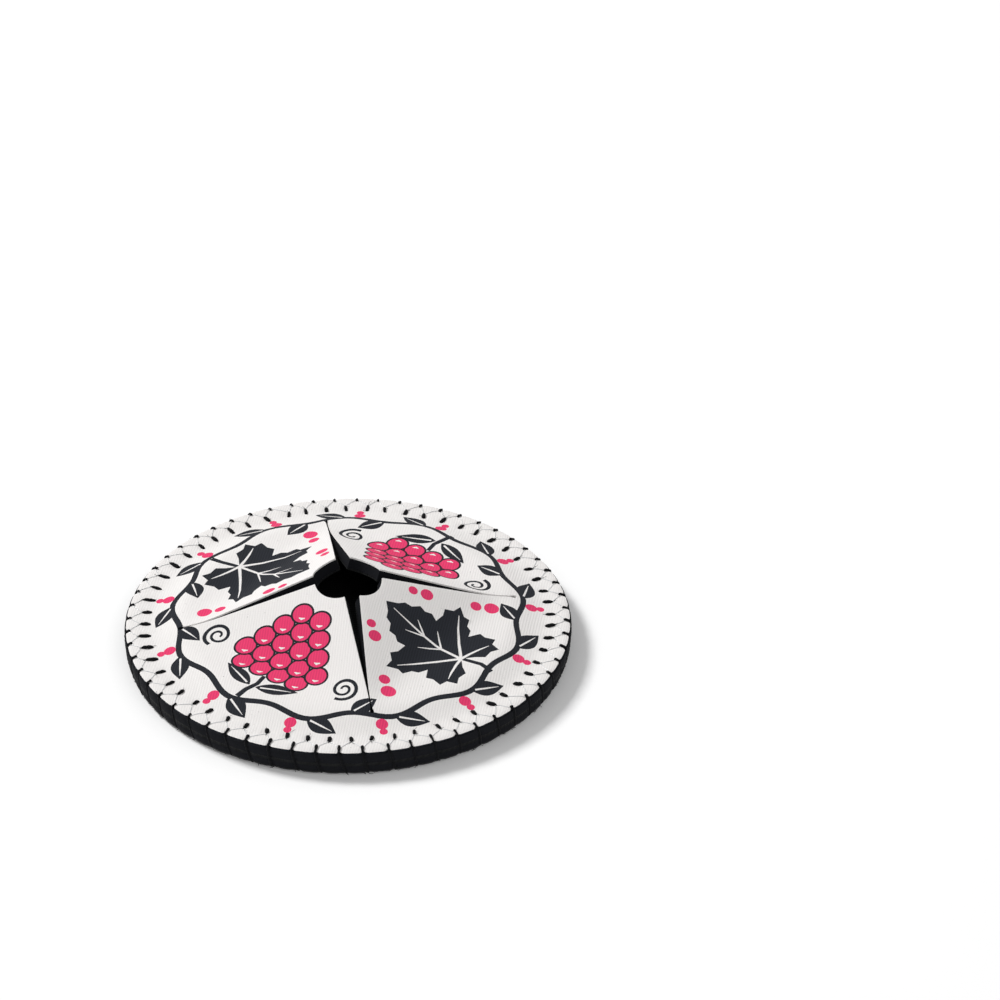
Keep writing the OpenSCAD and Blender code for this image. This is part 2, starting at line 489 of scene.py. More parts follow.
def edge_radius(angle, height, count):
    """Radius of the side wall: drawn in by the hooks and bulging between them, most at half of each panel."""
    middle = BASE_TOP_Z
    share = np.clip(np.where(height < middle, height / middle, (height - middle) / PANEL_T), 0, 1)
    bulge = 4 * share * (1 - share)
    pinch = edge_pinch(angle, count, height)
    drawn = BASE_DRAW * smooth_step(1 - height / middle)
    return PANEL_R - WALL_BACK - drawn - WALL_PINCH * pinch + WALL_BULGE * bulge * (1 - 0.6 * pinch)


def edge_scale(r, wanted):
    """Factor that brings points near the edge to the wanted radius of the side wall."""
    return 1 + np.clip((r - PANEL_R + EDGE_SOFT) / EDGE_SOFT, 0, 1) ** 2 * (wanted / PANEL_R - 1)


def panel_outline(place, spacing, edge_count):
    """Flat outline of a quarter of the top panel, from the slit at one side round the edge to the other."""
    gap = SLIT_HALF_W * math.sqrt(2)
    corner = (gap + math.sqrt(2 * HOLE_R**2 - gap**2)) / 2
    steps = max(2, int(SLIT_END_S / spacing))
    cut = np.linspace(corner, SLIT_END_S - 1.3, steps)
    slit = np.column_stack([cut, gap - cut])
    # The cut ends in a small nick, as wide as it is deep
    along, side = np.array([[1.5, 0.5, 0.1], [0.25, 0.5, 0.3]])
    nick = np.column_stack([SLIT_END_S - along / math.sqrt(2), along / math.sqrt(2) - SLIT_END_S])
    nick += side[:, None] / math.sqrt(2)
    edge = PANEL_R / math.sqrt(2)
    ends = np.linspace(SLIT_END_S, edge, max(2, int((edge - SLIT_END_S) * 1.5 / spacing)))
    joint = np.column_stack([ends, -ends])[:-1]
    angles = np.linspace(-math.pi / 4, math.pi / 4, edge_count + 1)
    rim = on_circle(PANEL_R, angles)
    half = np.concatenate([slit, nick, joint])
    start = math.atan2(corner - gap, corner)
    hole_angles = np.linspace(start, -start, 14)[1:-1]
    flat = np.concatenate([half, rim, half[::-1] * (1, -1), on_circle(HOLE_R, hole_angles)])
    return turn_plan(flat, AZIMUTHS[place])


def turn_plan(points, angle):
    """Plan points turned about the middle."""
    c, s = math.cos(angle), math.sin(angle)
    return np.asarray(points, float) @ np.array([[c, s], [-s, c]])


def inside(points, outline):
    """Which plan points lie inside a closed outline."""
    x, y = points[:, 0], points[:, 1]
    found = np.zeros(len(points), bool)
    for (x0, y0), (x1, y1) in zip(outline, np.roll(outline, -1, axis=0)):
        if y0 == y1:
            continue
        crossing = (y0 > y) != (y1 > y)
        found ^= crossing & (x < (x1 - x0) * (y - y0) / (y1 - y0) + x0)
    return found


def fill_points(place, outline, spacing, edge_count):
    """Points inside a quarter of the panel: a grid in the middle, and rings along the sewn border."""
    rows = np.arange(-GRID_REACH, GRID_REACH, spacing * math.sqrt(3) / 2)
    row = np.arange(-GRID_REACH, GRID_REACH, spacing)
    grid = np.array([(x + spacing / 2 * (i % 2), y) for i, y in enumerate(rows) for x in row])
    ring_step = PANEL_R * math.pi / 2 / edge_count
    grid = grid[(np.hypot(*grid.T) < PANEL_R - BORDER_W - 1.5) & inside(grid, outline)]
    far = [np.min(np.hypot(*(outline - p).T)) > spacing * 0.45 for p in grid]
    rings = [grid[far]]
    for i, r in enumerate(np.arange(PANEL_R - BORDER_W - 1, PANEL_R - ring_step / 2, ring_step)):
        share = (np.arange(edge_count) + 0.5 * (1 + i % 2)) / edge_count
        angles = AZIMUTHS[place] - math.pi / 4 + math.pi / 2 * share[: edge_count - i % 2]
        rings.append(on_circle(r, angles))
    return np.concatenate(rings)


def mesh_plan(outline, points, shapes):
    """Triangles inside an outline that follow the edges of printed shapes, each with the ink of its top shape."""
    corners = [outline, points] + [shape for _, shape in shapes]
    starts = np.cumsum([0] + [len(c) for c in corners])
    loops = [list(range(len(outline)))]
    loops += [list(range(starts[i + 2], starts[i + 3])) for i in range(len(shapes))]
    flat = [Vector(p) for p in np.concatenate(corners)]
    plan, _, faces, _, _, sources = delaunay_2d_cdt(flat, [], loops, 0, 1e-5, True)
    inks = [CLOTH] + [ink for ink, _ in shapes]
    kept = [(face, inks[max(source)]) for face, source in zip(faces, sources) if 0 in source]
    used = sorted({v for face, _ in kept for v in face})
    renumbered = {v: i for i, v in enumerate(used)}
    kept_faces = [[renumbered[v] for v in face] for face, _ in kept]
    return np.array([plan[v][:] for v in used]), kept_faces, [ink for _, ink in kept]


def rim_edges(faces):
    """Edges that only one face uses, in that face's direction."""
    once = {}
    for face in faces:
        for a, b in zip(face, face[1:] + face[:1]):
            if (b, a) in once:
                del once[(b, a)]
            else:
                once[(a, b)] = True
    return list(once)


def new_piece(name, points, faces, materials, inks=None, uv=None, sharp=None):
    """Object of a mesh given in millimetres, with a material for each face and plan millimetres as its UV map."""
    mesh = bpy.data.meshes.new(name)
    mesh.from_pydata((np.asarray(points) * MM).tolist(), [], faces)
    for material in materials:
        mesh.materials.append(material)
    if inks is not None:
        mesh.polygons.foreach_set("material_index", np.array(inks, np.int32))
    if uv is not None:
        corners = np.empty(len(mesh.loops), np.int32)
        mesh.loops.foreach_get("vertex_index", corners)
        layer = mesh.uv_layers.new(name=PLAN_UV)
        layer.data.foreach_set("uv", np.asarray(uv, np.float32)[corners].ravel())
    mesh.polygons.foreach_set("use_smooth", np.ones(len(mesh.polygons), bool))
    if sharp is not None:
        mesh.set_sharp_from_angle(angle=math.radians(sharp))
    mesh.validate()
    mesh.update()
    piece = bpy.data.objects.new(name, mesh)
    bpy.context.scene.collection.objects.link(piece)
    return piece


def panel_layer(layer, place, depths, plan, faces, inks, materials, sizes):
    """One layer of a quarter of the top panel, which bends from the rim into its flap."""
    count = sizes.stitches
    rows = len(depths)
    total = len(plan)
    angle = np.arctan2(plan[:, 1], plan[:, 0])
    on_edge = np.hypot(*plan.T) > PANEL_R - 0.01
    border = rim_edges(faces)
    rim = sorted({a for edge in border for a in edge})
    place_in_rim = {vertex: i for i, vertex in enumerate(rim)}
    tops = [lay_panel(plan, place, depth, count) for depth in depths]
    for points in tops:
        wanted = edge_radius(angle, points[:, 2], count)
        if layer == "face":
            # The cloth ends a little inside the foam, and the hooks bite into its soft edge
            wanted -= 0.25 + 0.45 * edge_pinch(angle, count, FACE_Z) ** 4
        points[:, :2] *= edge_scale(np.hypot(points[:, 0], points[:, 1]), wanted)[:, None]
    # A cut edge is drawn down a little by the blade
    cut = np.array([v for v in rim if not on_edge[v] and np.hypot(*plan[v]) < SLIT_END_S * math.sqrt(2) - 1])
    tops[0][cut, 2] -= 0.06
    points = [tops[0], tops[-1]] + [row[rim] for row in tops[1:-1]]
    uv = [plan, plan] + [plan[rim]] * (rows - 2)

    def row_vertex(row, vertex):
        if row == 0:
            return vertex
        if row == rows - 1:
            return total + vertex
        return 2 * total + (row - 1) * len(rim) + place_in_rim[vertex]

    all_faces = [list(face) for face in faces] + [[total + v for v in reversed(face)] for face in faces]
    all_inks = list(inks) + [CLOTH] * len(faces)
    ink_of = {edge: ink for face, ink in zip(faces, inks) for edge in zip(face, face[1:] + face[:1])}
    for a, b in border:
        for row in range(rows - 1):
            all_faces.append(
                [row_vertex(row, b), row_vertex(row, a), row_vertex(row + 1, a), row_vertex(row + 1, b)]
            )
            all_inks.append(BLACK if layer == "face" and on_edge[a] and on_edge[b] else ink_of[(a, b)])
    flap = FLAPS[place]
    piece = new_piece(
        f"{layer}_{flap}", np.concatenate(points), all_faces, materials, all_inks, np.concatenate(uv), CREASE
    )
    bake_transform(piece)
    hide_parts(f"flap_{flap}_{layer}", f"rim_{layer}")
    return piece


def fasten(piece, node):
    """Fixes a piece to the pocket, in the place of a CAD node."""
    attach(piece, POCKET)
    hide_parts(node)


# The print: a vine wreath with hanging bunches and leaves


def disc(s, v, radius, count=26):
    """Round shape."""
    angles = np.linspace(0, 2 * math.pi, count, endpoint=False)
    return on_circle(radius, angles) + (s, v)


def band(path, width):
    """Line of a given width, or of one width at each point."""
    path = np.asarray(path, float)
    along = np.gradient(path, axis=0)
    along /= np.linalg.norm(along, axis=1)[:, None]
    offset = np.column_stack([-along[:, 1], along[:, 0]]) * np.broadcast_to(width, len(path))[:, None] / 2
    return np.concatenate([path + offset, (path - offset)[::-1]])


def almond(root, tip, width, count=11):
    """Pointed leaf from its root to its tip."""
    root, tip = np.asarray(root, float), np.asarray(tip, float)
    t = np.linspace(0, 1, count)
    path = root + (tip - root) * t[:, None]
    return band(path, width * np.maximum(np.sin(math.pi * t**0.85), 0.02))


# Half outline of a five-lobed leaf whose stalk is at 0 and whose tip is at 1
LEAF_HALF = np.array(
    [
        (0.03, 0.02), (-0.04, 0.10), (-0.12, 0.16), (-0.11, 0.26), (-0.15, 0.34), (-0.05, 0.37), (-0.03, 0.45),
        (0.07, 0.42), (0.14, 0.44), (0.20, 0.33), (0.24, 0.42), (0.30, 0.45), (0.34, 0.54), (0.40, 0.53),
        (0.50, 0.60), (0.51, 0.50), (0.58, 0.44), (0.54, 0.36), (0.54, 0.25), (0.62, 0.28), (0.68, 0.24),
        (0.75, 0.25), (0.80, 0.17), (0.87, 0.15), (0.91, 0.08), (1.00, 0.00),
    ]
)  # fmt: skip


def lobed_leaf(stalk, length):
    """Vine leaf that hangs from s = stalk towards the middle."""
    whole = np.concatenate([LEAF_HALF, (LEAF_HALF * (1, -1))[-2::-1]])
    return np.column_stack([stalk - whole[:, 0] * length, whole[:, 1] * length])


def leaf_motif():
    """Black leaf with pale veins, in a flap's own axes: s away from the middle, v to the side."""
    stalk, length = 32.0, 23.0
    shapes = [(BLACK, band([(38.5, 0.6), (35.5, 1.0), (stalk, 0.3), (stalk - 2, 0)], (1.2, 1.1, 1.0, 0.9)))]
    shapes.append((BLACK, lobed_leaf(stalk, length)))
    root = np.array([stalk - 0.05 * length, 0])
    for t, side in [(0.9, 0), (0.44, 0.5), (0.44, -0.5), (-0.04, 0.33), (-0.04, -0.33)]:
        tip = np.array([stalk - t * length, side * length])
        bow = np.array([0.6, 0.0]) * abs(side)
        path = [root, root + (tip - root) * 0.35 - bow, root + (tip - root) * 0.7 - bow, tip]
        shapes.append((CLOTH, band(path, (0.75, 0.6, 0.45, 0.15))))
    for t, side in [(0.45, 0.16), (0.45, -0.16), (0.66, 0.1), (0.66, -0.1)]:
        root = np.array([stalk - (t - 0.17) * length, 0])
        tip = np.array([stalk - t * length, side * length])
        shapes.append((CLOTH, band([root, (root + tip) / 2, tip], (0.45, 0.4, 0.12))))
    for side in (1, -1):
        for s, v, radius in [(25.4, 19.2, 1.7), (22.6, 17.0, 1.3), (13.6, 9.6, 1.5), (10.9, 7.7, 1.1)]:
            shapes.append((PINK, disc(s, side * v, radius)))
    return shapes


def bunch_motif():
    """Bunch of pink grapes with dark outlines and pale glints, in a flap's own axes."""
    shapes = [(BLACK, band([(38.5, -0.8), (36, -0.4), (33, 0.4), (30, 0)], (1.3, 1.2, 1.1, 1.0)))]
    for side in (1, -1):
        shapes.append((BLACK, almond((34.2, side * 0.8), (30.6, side * 9.6), 3.6)))
        shapes.append((CLOTH, band([(33.8, side * 1.8), (32.3, side * 5.4), (31.2, side * 8.2)], (0.5, 0.4, 0.1))))
    radius, side_step = 2.45, 4.85
    for amount, s in [(4, 28.2), (5, 24.2), (4, 20.1), (3, 16.0), (2, 11.9)]:
        for i in range(amount):
            v = (i - (amount - 1) / 2) * side_step
            shapes.append((BLACK, disc(s, v, radius + 0.28)))
            shapes.append((PINK, disc(s, v, radius - 0.2)))
            glint = [(s + 1.2, v - 0.2), (s + 1.25, v + 0.5), (s + 0.75, v + 1.15)]
            shapes.append((CLOTH, band(glint, (0.2, 0.62, 0.2))))
    curl_points = 46
    turn = np.linspace(0, 3.6 * math.pi, curl_points)
    curl = on_circle(np.linspace(3.3, 0.5, curl_points), turn) + (24.4, 17.3)
    for side in (1, -1):
        shapes.append((BLACK, band(curl * (1, side), np.linspace(0.9, 0.5, curl_points))))
    return shapes


def wreath():
    """Winding black stem near the rim, with leaves to both sides and pairs of pink berries outside."""
    waves, middle, swing = 13, 38.4, 1.0
    turn = np.linspace(0, 2 * math.pi, waves * 14, endpoint=False)
    shapes = []
    path = on_circle(middle + swing * np.sin(waves * turn), turn)
    half = len(path) // 2
    for piece in (path[: half + 1], np.concatenate([path[half:], path[:1]])):
        shapes.append((BLACK, band(piece, 1.3)))
    for i in range(2 * waves):
        outward = 1 if i % 2 == 0 else -1
        root_angle = (i + 0.5) * math.pi / waves
        # The inner side stays clear where a motif hangs from the stem
        nearest = min(abs(math.remainder(root_angle + 0.08 - azimuth, 2 * math.pi)) for azimuth in AZIMUTHS)
        if outward < 0 and nearest < 0.36:
            continue
        root_r = middle + swing * outward
        tip_angle = root_angle + 0.165
        tip_r = middle + outward * 4.3
        root = root_r * np.array([math.cos(root_angle), math.sin(root_angle)])
        tip = tip_r * np.array([math.cos(tip_angle), math.sin(tip_angle)])
        shapes.append((BLACK, almond(root, tip, 4.2)))
        vein = root + (tip - root) * np.array([[0.12], [0.5], [0.85]])
        shapes.append((CLOTH, band(vein, (0.45, 0.4, 0.1))))
        if outward > 0:
            berry_angle = root_angle - 0.08
            for berry_r, radius in ((40.9, 1.35), (42.9, 0.9)):
                berry = berry_r * np.array([math.cos(berry_angle), math.sin(berry_angle)])
                shapes.append((PINK, disc(*berry, radius, 16)))
    return shapes


def anticlockwise(points):
    """The outline in the direction that the triangulation needs."""
    x, y = points.T
    area = np.sum(x * np.roll(y, -1) - y * np.roll(x, -1))
    return points if area > 0 else points[::-1]


def print_design():
    """All shapes of the print in the flat panel, later ones on top."""
    shapes = wreath()
    for place, azimuth in enumerate(AZIMUTHS):
        motif = leaf_motif() if place % 2 else bunch_motif()
        shapes += [(ink, turn_plan(points, azimuth)) for ink, points in motif]
    return [(ink, anticlockwise(points)) for ink, points in shapes]


def near_quarter(points, place):
    """Whether a printed shape reaches a quarter of the panel."""
    s, v = turn_plan(points, -AZIMUTHS[place]).T
    return bool(np.any(s > np.abs(v) - 3))


# Shapes of the base panel and the threads


def spun_layer(name, profile, material, count):
    """Round layer of the base, spun from a profile of radius and height, with its edge at the sewn wall."""
    segments = count * EDGE_POINTS
    angles = np.linspace(0, 2 * math.pi, segments, endpoint=False)
    points, uv, faces = [], [], []
    for r, z in profile:
        if r == 0:
            points.append(np.array([[0, 0, z]]))
            uv.append(np.zeros((1, 2)))
            continue
        height = np.full(segments, float(z))
        radius = r * edge_scale(np.full(segments, float(r)), edge_radius(angles, height, count))
        points.append(np.column_stack([on_circle(radius, angles), height]))
        uv.append(points[-1][:, :2])
    starts = np.cumsum([0] + [len(p) for p in points])
    for i in range(len(profile) - 1):
        for j in range(segments):
            k = (j + 1) % segments
            if profile[i][0] == 0:
                faces.append([starts[i], starts[i + 1] + k, starts[i + 1] + j])
            elif profile[i + 1][0] == 0:
                faces.append([starts[i] + j, starts[i] + k, starts[i + 1]])
            else:
                faces.append([starts[i] + j, starts[i] + k, starts[i + 1] + k, starts[i + 1] + j])
    materials = [bpy.data.materials[material]]
    return new_piece(name, np.concatenate(points), faces, materials, uv=np.concatenate(uv), sharp=CREASE)


def tuck_height(r):
    """How far the stitches draw the underside up: less than the model's step, as the rubber swells there."""
    return 0.6 * TUCK * smooth_step((r - PANEL_R + BORDER_W + 0.8) / 1.2)


def tubes(paths, sides):
    """Closed tubes along paths of (points, radii, plies, turns in a millimetre), as one mesh with its UV map."""
    points, faces, uv = [], [], []
    start = 0
    around = np.arange(sides) * 2 * math.pi / sides
    for path, radii, plies, twist in paths:
        path = np.asarray(path, float)
        along = np.gradient(path, axis=0)
        along /= np.linalg.norm(along, axis=1)[:, None]
        length = np.concatenate([[0], np.cumsum(np.linalg.norm(np.diff(path, axis=0), axis=1))])
        side = np.cross(along[0], (0.31, 0.22, 0.93))
        rings = len(path)
        for i in range(rings):
            side = side - along[i] * (side @ along[i])
            side /= np.linalg.norm(side)
            up = np.cross(along[i], side)
            lobes = 1.0
            if plies > 1:
                lobes = 0.78 + 0.22 * np.abs(np.cos(plies / 2 * around + 2 * math.pi * twist * length[i]))
            reach = radii[i] * lobes
            points.append(path[i] + on_circle(reach, around) @ np.array([side, up]))
            uv.append(np.column_stack([np.arange(sides) / sides, np.full(sides, length[i])]))
        for i in range(rings - 1):
            for j in range(sides):
                k = (j + 1) % sides
                a, b = start + i * sides, start + (i + 1) * sides
                faces.append([a + j, a + k, b + k, b + j])
        faces.append([start + j for j in reversed(range(sides))])
        faces.append([start + (rings - 1) * sides + j for j in range(sides)])
        start += rings * sides
    return np.concatenate(points), faces, np.concatenate(uv)


def rounded_path(corners, steps):
    """Smooth path through corners."""
    corners = np.asarray(corners, float)
    ends = np.concatenate([[2 * corners[0] - corners[1]], corners, [2 * corners[-1] - corners[-2]]])
    path = []
    for p0, p1, p2, p3 in zip(ends, ends[1:], ends[2:], ends[3:]):
        square, cube = 2 * p0 - 5 * p1 + 4 * p2 - p3, 3 * p1 - p0 - 3 * p2 + p3
        for t in np.arange(steps) / steps:
            path.append(0.5 * (2 * p1 + (p2 - p0) * t + square * t**2 + cube * t**3))
    path.append(corners[-1])
    return np.array(path)


def ring_point(r, angle, z):
    """Point at a radius, angle and height."""
    return (r * math.cos(angle), r * math.sin(angle), z)


def face_height(r, angle, count):
    """Height of the face's surface in the sewn border."""
    x, y = np.array([r * math.cos(angle)]), np.array([r * math.sin(angle)])
    return FACE_Z + float(border_relief(x, y, count)[0])


# Share of the dashes' length and the hooks' reach by degrees from the right: the panels lie askew in the seam
DASH_SHARE = (
    (0, 90, 150, 180, 205, 225, 270, 315, 360),
    (1.0, 1.0, 1.25, 1.35, 1.3, 0.95, 0.75, 0.95, 1.0),
)
HOOK_SHARE = (
    (0, 45, 90, 180, 225, 255, 290, 312, 335, 360),
    (1.0, 0.8, 0.75, 0.55, 0.7, 1.5, 1.5, 0.45, 0.6, 1.0),
)


def stitch_plan(sizes):
    """Seeded irregularities of the stitches: for each, its dash and its hook."""
    rng = np.random.default_rng(STITCH_SEED)
    step = 2 * math.pi / sizes.stitches
    plan = []
    for i in range(sizes.stitches):
        angle = (i + 0.5) * step
        plan.append(
            {
                "needle": i * step + rng.normal(0, 0.04) * step,
                "dash": sizes.dash * np.interp(math.degrees(angle), *DASH_SHARE) * rng.uniform(0.8, 1.15),
                "skew": rng.normal(0, 0.09) * step,
                "hook_angle": angle + rng.normal(0, 0.03) * step,
                "hook": sizes.hook * np.interp(math.degrees(angle), *HOOK_SHARE) * rng.uniform(0.8, 1.2),
                "lean": rng.normal(SEAM_LEAN, 0.06) * step,
                "bulk": rng.uniform(0.85, 1.15),
            }
        )
    return plan


def stitch_pairs(sizes):
    """Each stitch with the next one, whose needle hole may lie past the full turn."""
    plan = stitch_plan(sizes)
    for i, stitch in enumerate(plan):
        after = plan[(i + 1) % len(plan)]
        turn = 2 * math.pi if i + 1 == len(plan) else 0
        yield stitch, {**after, "needle": after["needle"] + turn}


def dash_path(stitch, sizes):
    """Dash of yarn from its needle hole outwards on the face: thick at the hole and pointed at its end."""
    count = sizes.stitches
    r0 = NEEDLE_R - 0.3
    rows = []
    for t, lift in ((0, -0.9), (0.05, 0.0), (0.3, 0.2), (0.65, 0.18), (1, -0.08)):
        r = r0 + stitch["dash"] * t
        angle = stitch["needle"] + stitch["skew"] * t
        rows.append(ring_point(r, angle, face_height(r, angle, count) + lift))
    path = rounded_path(rows, 4)
    radii = np.interp(np.linspace(0, 1, len(path)), (0, 0.25, 0.5, 0.8, 1), (0.7, 1.4, 1.6, 1.3, 0.4))
    return path, radii * sizes.yarn_w / 2 * stitch["bulk"], YARN_PLIES, YARN_TWIST


def hook_path(stitch, sizes):
    """Yarn from the underside up the wall and over the edge onto the face."""
    count = sizes.stitches
    angle, half = stitch["hook_angle"], sizes.yarn_w / 2
    rows = [ring_point(HEM_R - 0.4 - BASE_DRAW, angle + stitch["lean"], 0.28)]
    rows.append(ring_point(PANEL_R - 0.5 - BASE_DRAW, angle + stitch["lean"], 0.45))
    for z in (TUCK + 0.5, BASE_TOP_Z - 1, BASE_TOP_Z, BASE_TOP_Z + 1, FACE_Z - 0.9):
        wall_angle = angle + stitch["lean"] * (1 - z / FACE_Z)
        # The bulky yarn lies in the groove that it draws into the wall
        r = float(edge_radius(np.array(wall_angle), np.array(z), count)) - half * 0.35
        rows.append(ring_point(r, wall_angle, z))
    edge_r = PANEL_R - 0.5
    rows.append(ring_point(edge_r, angle, FACE_Z - 0.16))
    for t, lift in ((0.35, 0.55), (0.75, 0.8), (1, -0.1)):
        r = edge_r - 0.2 - (stitch["hook"] - 0.4) * t
        rows.append(ring_point(r, angle, face_height(r, angle, count) + half * lift))
    path = rounded_path(rows, 4)
    share = np.linspace(0, 1, len(path))
    bulk = np.interp(share, (0, 0.1, 0.2, 0.6, 0.72, 0.88, 0.94, 1), (0.8, 0.8, 1.4, 1.4, 0.85, 1.2, 1.25, 0.5))
    return path, bulk * half * stitch["bulk"], YARN_PLIES, YARN_TWIST


def under_strands(start, end, sizes, rng):
    """Bulked strands of one leg of the zigzag under the border, each with its own bow."""
    strands = []
    for _ in range(UNDER_STRANDS):
        bow = rng.normal(0, 0.6)
        z = rng.uniform(0.17, 0.26)
        rows = []
        for t in np.linspace(0, 1, 6):
            r = NEEDLE_R - 0.2 + (HEM_R + 0.2 - BASE_DRAW - NEEDLE_R) * t
            angle = start + (end - start) * t + (bow * math.sin(math.pi * t) + rng.normal(0, 0.06)) / r
            rows.append(ring_point(r, angle, z))
        rows[0] = ring_point(NEEDLE_R, start, z + 0.3)
        path = rounded_path(rows, 3)
        radii = sizes.yarn_w * rng.uniform(0.26, 0.36) * (1 + 0.2 * np.sin(np.arange(len(path)) * 1.7))
        strands.append((path, radii, YARN_PLIES, UNDER_TWIST))
    return strands


def loose_fibre(root, out, rng, lengths, heights, radii):
    """Tube of a loose fibre that curls away from the yarn between two heights, thinner towards its end."""
    length = rng.uniform(*lengths)
    out = np.asarray(out, float) + rng.normal(0, 0.45, 3)
    out /= np.linalg.norm(out)
    curl = rng.normal(0, 0.5, 3)
    t = np.linspace(0, 1, FIBRE_POINTS)[:, None]
    path = np.asarray(root) + length * (out * t + curl * t * t * 0.6)
    path[:, 2] = np.maximum(path[:, 2], 0.06)
    # Fibres lie close to the wall
    limit = PANEL_R - BASE_DRAW * smooth_step(1 - path[:, 2] / BASE_TOP_Z)
    path[:, :2] *= np.minimum(1, limit / np.hypot(path[:, 0], path[:, 1]))[:, None]
    path[:, 2] = np.clip(path[:, 2], *heights)
    return path, np.linspace(*radii, FIBRE_POINTS), 1, 0


class COASTER_OT_printed_face(bpy.types.Operator):
    """Makes the printed jersey that covers the top, with its rim and four flaps"""

    bl_idname = "coaster.printed_face"
    bl_label = "Printed Face"

    def execute(self, context):
        colours, sizes = context.scene.coaster_colours, context.scene.coaster_sizes
        materials = [
            printed_jersey("white polyester jersey", colours.cloth, sizes, 0.05, 0.6),
            printed_jersey("pink printed jersey", colours.pink_ink, sizes, 0.12, 0.0),
            printed_jersey("black printed jersey", colours.black_ink, sizes, 0.3, 0.0),
        ]
        design = print_design()
        for place in range(len(FLAPS)):
            edge_count = FACE_EDGE_POINTS * sizes.stitches // len(FLAPS)
            outline = panel_outline(place, 0.8, edge_count)
            points = fill_points(place, outline, 1.1, edge_count)
            printed = [shape for shape in design if near_quarter(shape[1], place)]
            plan, faces, inks = mesh_plan(outline, points, printed)
            piece = panel_layer("face", place, (0, FACE_T - LAYER_GAP), plan, faces, inks, materials, sizes)
        return {"FINISHED"}


def plain_quarters(layer, depths, material, sizes):
    """Quarters of a layer of the top panel without print, each with its place."""
    spacing, edge_count = 2, EDGE_POINTS * sizes.stitches // len(FLAPS)
    for place in range(len(FLAPS)):
        outline = panel_outline(place, spacing, edge_count)
        plan, faces, inks = mesh_plan(outline, fill_points(place, outline, spacing, edge_count), [])
        yield place, panel_layer(layer, place, depths, plan, faces, inks, [material], sizes)


class COASTER_OT_top_foam(bpy.types.Operator):
    """Makes the foam under the printed face, with its cut edges"""

    bl_idname = "coaster.top_foam"
    bl_label = "Top Foam"

    def execute(self, context):
        foam = cut_foam(context.scene.coaster_colours.foam)
        depths = np.linspace(FACE_T + LAYER_GAP, LINING_DEPTH - LAYER_GAP, 6)
        for _, piece in plain_quarters("foam", depths, foam, context.scene.coaster_sizes):
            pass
        return {"FINISHED"}


class COASTER_OT_top_lining(bpy.types.Operator):
    """Makes the black knit on the inner side of the top foam"""

    bl_idname = "coaster.top_lining"
    bl_label = "Top Lining"

    def execute(self, context):
        sizes = context.scene.coaster_sizes
        knit = lining_jersey(context.scene.coaster_colours.lining, sizes)
        depths = (LINING_DEPTH + LAYER_GAP, PANEL_T - LAYER_GAP)
        for place, piece in plain_quarters("lining", depths, knit, sizes):
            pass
        return {"FINISHED"}


class COASTER_OT_base_lining(bpy.types.Operator):
    """Makes the black knit floor of the pocket"""

    bl_idname = "coaster.base_lining"
    bl_label = "Base Lining"

    def execute(self, context):
        top, low = BASE_TOP_Z - LAYER_GAP, BASE_LINING_Z + LAYER_GAP
        radii = [0, 6, 12, 20, 28, 36, 42, 46, 48, PANEL_R]
        profile = [(r, low) for r in radii] + [(r, top) for r in radii[::-1]]
        count = context.scene.coaster_sizes.stitches
        piece = spun_layer("base_lining_knit", profile, "black nylon jersey", count)
        fasten(piece, "base_lining")
        return {"FINISHED"}


class COASTER_OT_base_foam(bpy.types.Operator):
    """Makes the foam of the base panel, with its scalloped edge"""

    bl_idname = "coaster.base_foam"
    bl_label = "Base Foam"

    def execute(self, context):
        top, low = BASE_LINING_Z - LAYER_GAP, SKIN_T + LAYER_GAP
        radii = [0, 12, 28, 40, 43.6, 44.4, 45.2, 46.4, 48]
        profile = [(r, low + float(tuck_height(r))) for r in radii]
        profile += [(PANEL_R, z) for z in np.linspace(low + float(tuck_height(PANEL_R)), top, 6)]
        profile += [(r, top) for r in (48, 44, 28, 12, 0)]
        count = context.scene.coaster_sizes.stitches
        piece = spun_layer("base_foam_pad", profile, "cut chloroprene foam", count)
        fasten(piece, "base_foam")
        return {"FINISHED"}


def weave_height(plan, cell, depth, turn):
    """Height of the grooves in the embossed basket weave, whose pads lie along and across by turns."""
    u, v = turn_plan(plan, -turn).T / cell
    i, j = np.floor(u), np.floor(v)
    lying = (i + j) % 2 == 0
    across = np.abs(np.where(lying, v - j, u - i) - 0.5)
    along = np.abs(np.where(lying, u - i, v - j) - 0.5)
    # A groove runs along both long sides of a pad and fades where the next pad lies over it
    groove = smooth_step((across - 0.33) / 0.12) * smooth_step((0.56 - along) / 0.2)
    crown = (2 * along) ** 2
    return depth * np.maximum(0.85 * groove, 0.25 * crown)


